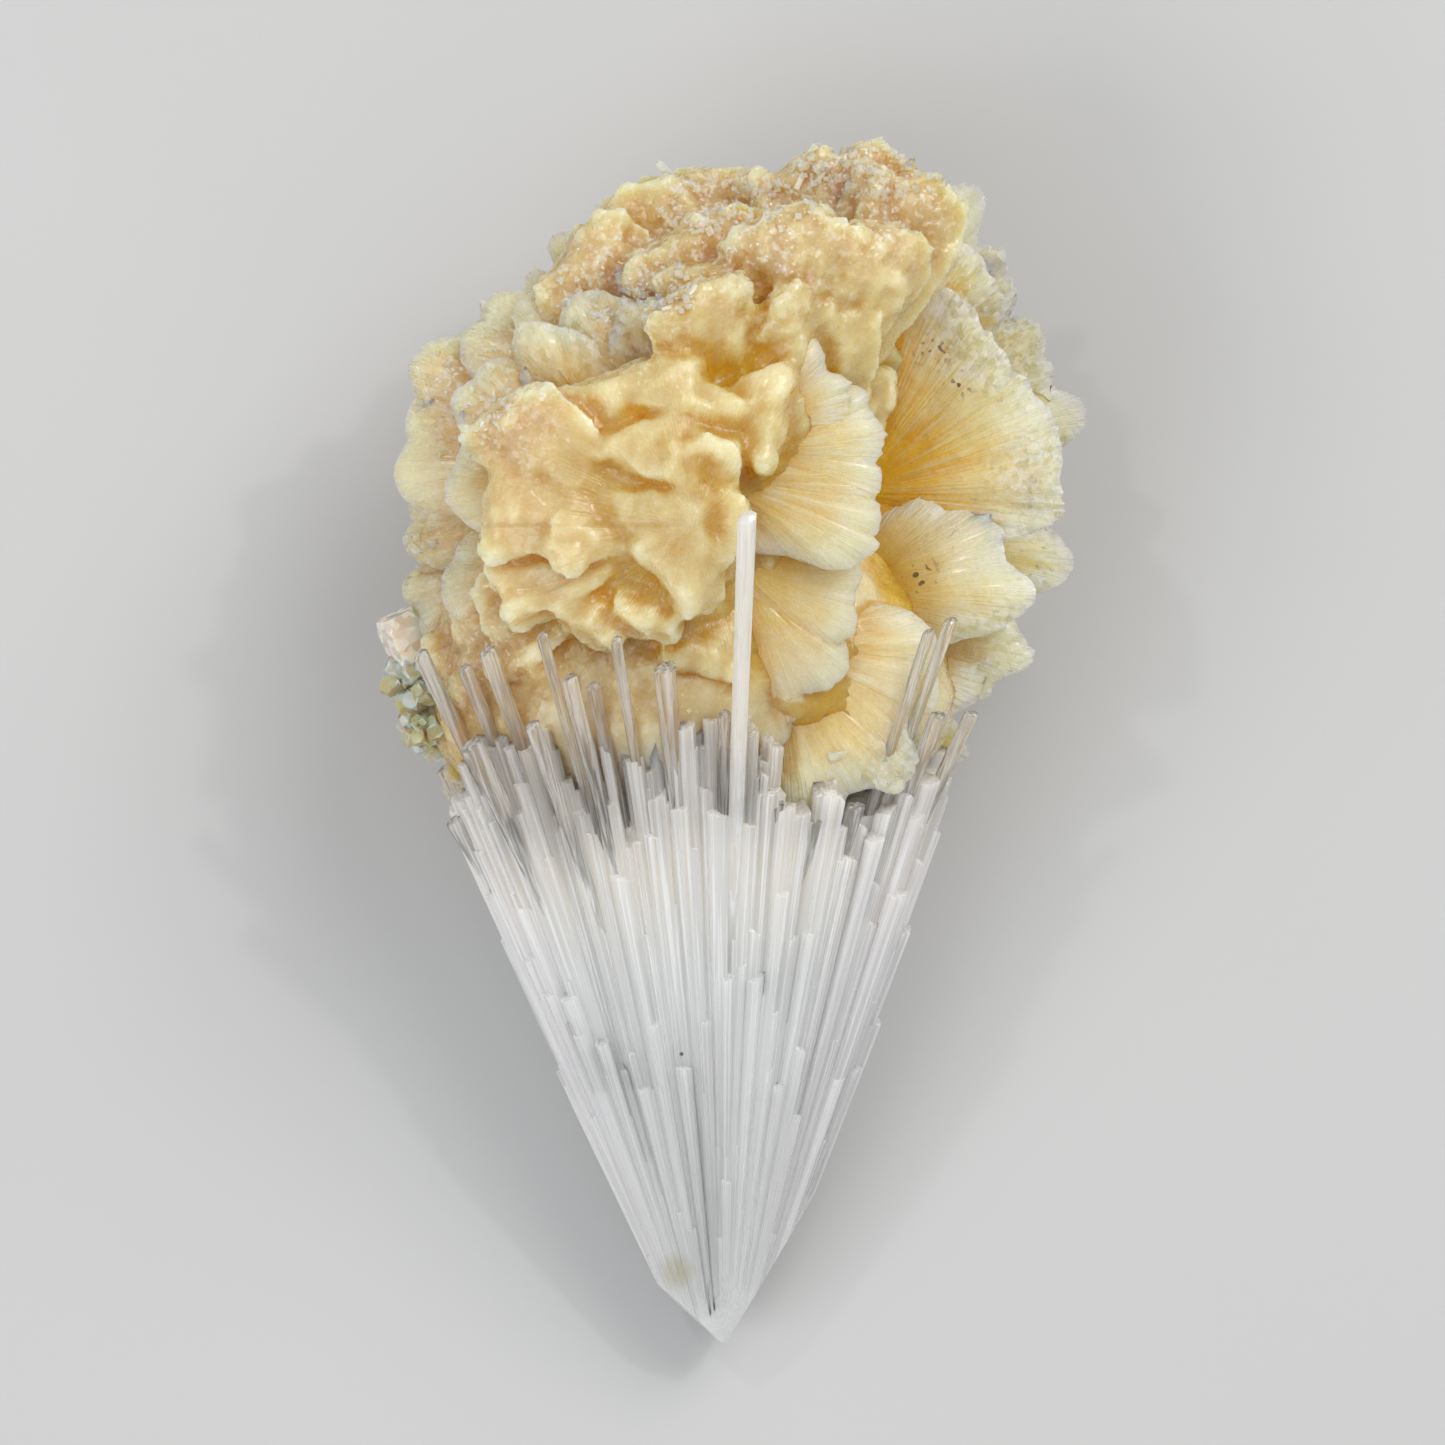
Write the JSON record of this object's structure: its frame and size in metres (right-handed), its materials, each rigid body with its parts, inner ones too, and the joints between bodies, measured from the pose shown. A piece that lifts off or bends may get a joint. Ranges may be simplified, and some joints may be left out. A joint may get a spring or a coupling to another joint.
{
  "type": "scolecite with stilbite specimen",
  "caption": "Mineral specimen lying on its flat back: a cone of slender colourless scolecite crystals topped by a rounded head of overlapping peach-yellow stilbite blades.",
  "frame": {"origin": "middle of the specimen's bounding box in X and Y, on the surface that its flat back rests on", "axes": "+Y from the cone's point to the stilbite head, +X to the right seen from the front, +Z out of the front, up from the surface that it lies on"},
  "size_m": [0.0564, 0.0996, 0.0467],
  "materials": {
    "scolecite": "clear to milky, glassy",
    "stilbite": "waxy to pearly",
    "apophyllite": "glassy"
  },
  "bodies": {
    "root": {"scolecite_spray": "scolecite", "stilbite_head": "stilbite", "apophyllite_crust": "apophyllite"}
  },
  "joints": []
}
